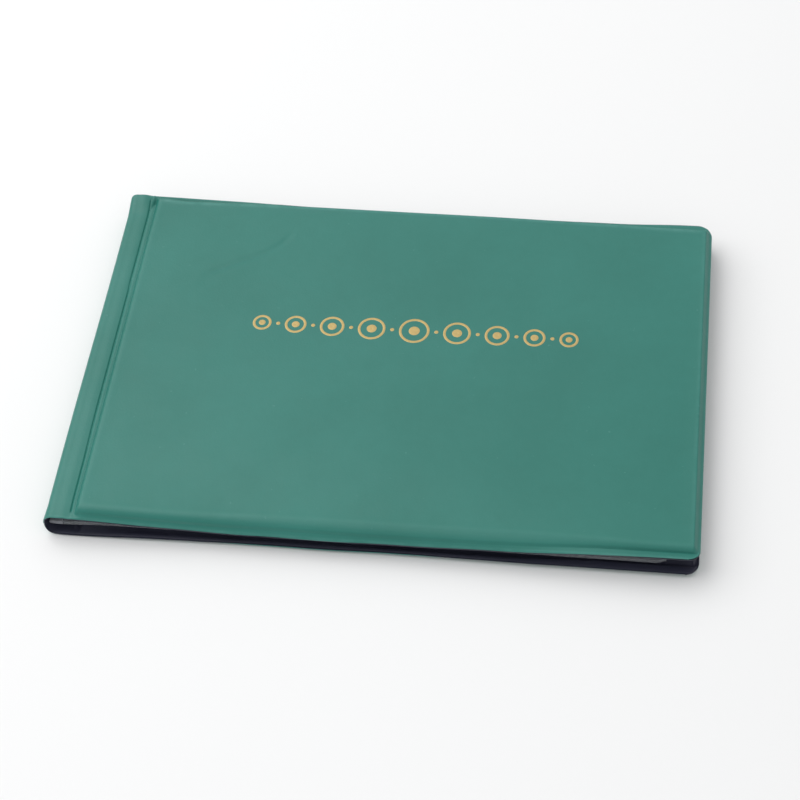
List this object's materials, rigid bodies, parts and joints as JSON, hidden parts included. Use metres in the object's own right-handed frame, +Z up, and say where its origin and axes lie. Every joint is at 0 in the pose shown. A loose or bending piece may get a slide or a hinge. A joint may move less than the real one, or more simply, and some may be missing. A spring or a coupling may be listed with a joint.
{
  "type": "coin album",
  "caption": "Closed pocket album for coins: two padded vinyl covers joined by a soft spine fold, with clear pocket leaves welded inside and a stamped foil ornament on the front.",
  "frame": {"origin": "middle of the closed album's outline, on the surface it lies on", "axes": "+X from the spine fold to the fore edge, +Y to the head of the leaves, +Z up from the back cover to the front cover"},
  "size_m": [0.21, 0.14, 0.012],
  "materials": {
    "green_vinyl": "soft semi-matt vinyl",
    "black_vinyl": "smooth soft vinyl",
    "clear_film": "clear glossy film",
    "welded_film": "clear film, heat welded",
    "greyboard": "plain board",
    "gold_foil": "stamped satin foil"
  },
  "bodies": {
    "back_cover": {"back_cover_skin": "green_vinyl", "back_board": "greyboard", "back_liner": "black_vinyl"},
    "spine": {"spine_skin": "green_vinyl", "spine_liner": "black_vinyl", "page_binding": "welded_film"},
    "front_cover": {"front_cover_skin": "green_vinyl", "front_board": "greyboard", "front_liner": "black_vinyl", "cover_foil": "gold_foil"},
    "page_01": {"page_01_sheet": "clear_film", "page_01_pockets": "clear_film"},
    "page_02": {"page_02_sheet": "clear_film", "page_02_pockets": "clear_film"},
    "page_03": {"page_03_sheet": "clear_film", "page_03_pockets": "clear_film"},
    "page_04": {"page_04_sheet": "clear_film", "page_04_pockets": "clear_film"},
    "page_05": {"page_05_sheet": "clear_film", "page_05_pockets": "clear_film"},
    "page_06": {"page_06_sheet": "clear_film", "page_06_pockets": "clear_film"},
    "page_07": {"page_07_sheet": "clear_film", "page_07_pockets": "clear_film"},
    "page_08": {"page_08_sheet": "clear_film", "page_08_pockets": "clear_film"},
    "page_09": {"page_09_sheet": "clear_film", "page_09_pockets": "clear_film"},
    "page_10": {"page_10_sheet": "clear_film", "page_10_pockets": "clear_film"}
  },
  "joints": [
    {"name": "lower_bend", "type": "hinge", "parent": "back_cover", "child": "spine", "pos_m": [-0.103, 0, 0.002], "axis": [0, -1, 0], "range_deg": [0, 90]},
    {"name": "upper_bend", "type": "hinge", "parent": "spine", "child": "front_cover", "pos_m": [-0.103, 0, 0.01], "axis": [0, -1, 0], "range_deg": [0, 90]},
    {"name": "page_01_turn", "type": "hinge", "parent": "spine", "child": "page_01", "pos_m": [-0.1004, 0, 0.00915], "axis": [0, -1, 0], "range_deg": [0, 81]},
    {"name": "page_02_turn", "type": "hinge", "parent": "spine", "child": "page_02", "pos_m": [-0.1004, 0, 0.00845], "axis": [0, -1, 0], "range_deg": [0, 68.4]},
    {"name": "page_03_turn", "type": "hinge", "parent": "spine", "child": "page_03", "pos_m": [-0.1004, 0, 0.00775], "axis": [0, -1, 0], "range_deg": [0, 55.8]},
    {"name": "page_04_turn", "type": "hinge", "parent": "spine", "child": "page_04", "pos_m": [-0.1004, 0, 0.00705], "axis": [0, -1, 0], "range_deg": [0, 43.2]},
    {"name": "page_05_turn", "type": "hinge", "parent": "spine", "child": "page_05", "pos_m": [-0.1004, 0, 0.00635], "axis": [0, -1, 0], "range_deg": [0, 30.6]},
    {"name": "page_06_turn", "type": "hinge", "parent": "spine", "child": "page_06", "pos_m": [-0.1004, 0, 0.00565], "axis": [0, -1, 0], "range_deg": [-30.6, 0]},
    {"name": "page_07_turn", "type": "hinge", "parent": "spine", "child": "page_07", "pos_m": [-0.1004, 0, 0.00495], "axis": [0, -1, 0], "range_deg": [-43.2, 0]},
    {"name": "page_08_turn", "type": "hinge", "parent": "spine", "child": "page_08", "pos_m": [-0.1004, 0, 0.00425], "axis": [0, -1, 0], "range_deg": [-55.8, 0]},
    {"name": "page_09_turn", "type": "hinge", "parent": "spine", "child": "page_09", "pos_m": [-0.1004, 0, 0.00355], "axis": [0, -1, 0], "range_deg": [-68.4, 0]},
    {"name": "page_10_turn", "type": "hinge", "parent": "spine", "child": "page_10", "pos_m": [-0.1004, 0, 0.00285], "axis": [0, -1, 0], "range_deg": [-81, 0]}
  ],
  "couplings": [
    {"joint": "page_01_turn", "follows": "upper_bend", "ratio": 0.9},
    {"joint": "page_02_turn", "follows": "upper_bend", "ratio": 0.76},
    {"joint": "page_03_turn", "follows": "upper_bend", "ratio": 0.62},
    {"joint": "page_04_turn", "follows": "upper_bend", "ratio": 0.48},
    {"joint": "page_05_turn", "follows": "upper_bend", "ratio": 0.34},
    {"joint": "page_06_turn", "follows": "lower_bend", "ratio": -0.34},
    {"joint": "page_07_turn", "follows": "lower_bend", "ratio": -0.48},
    {"joint": "page_08_turn", "follows": "lower_bend", "ratio": -0.62},
    {"joint": "page_09_turn", "follows": "lower_bend", "ratio": -0.76},
    {"joint": "page_10_turn", "follows": "lower_bend", "ratio": -0.9}
  ]
}
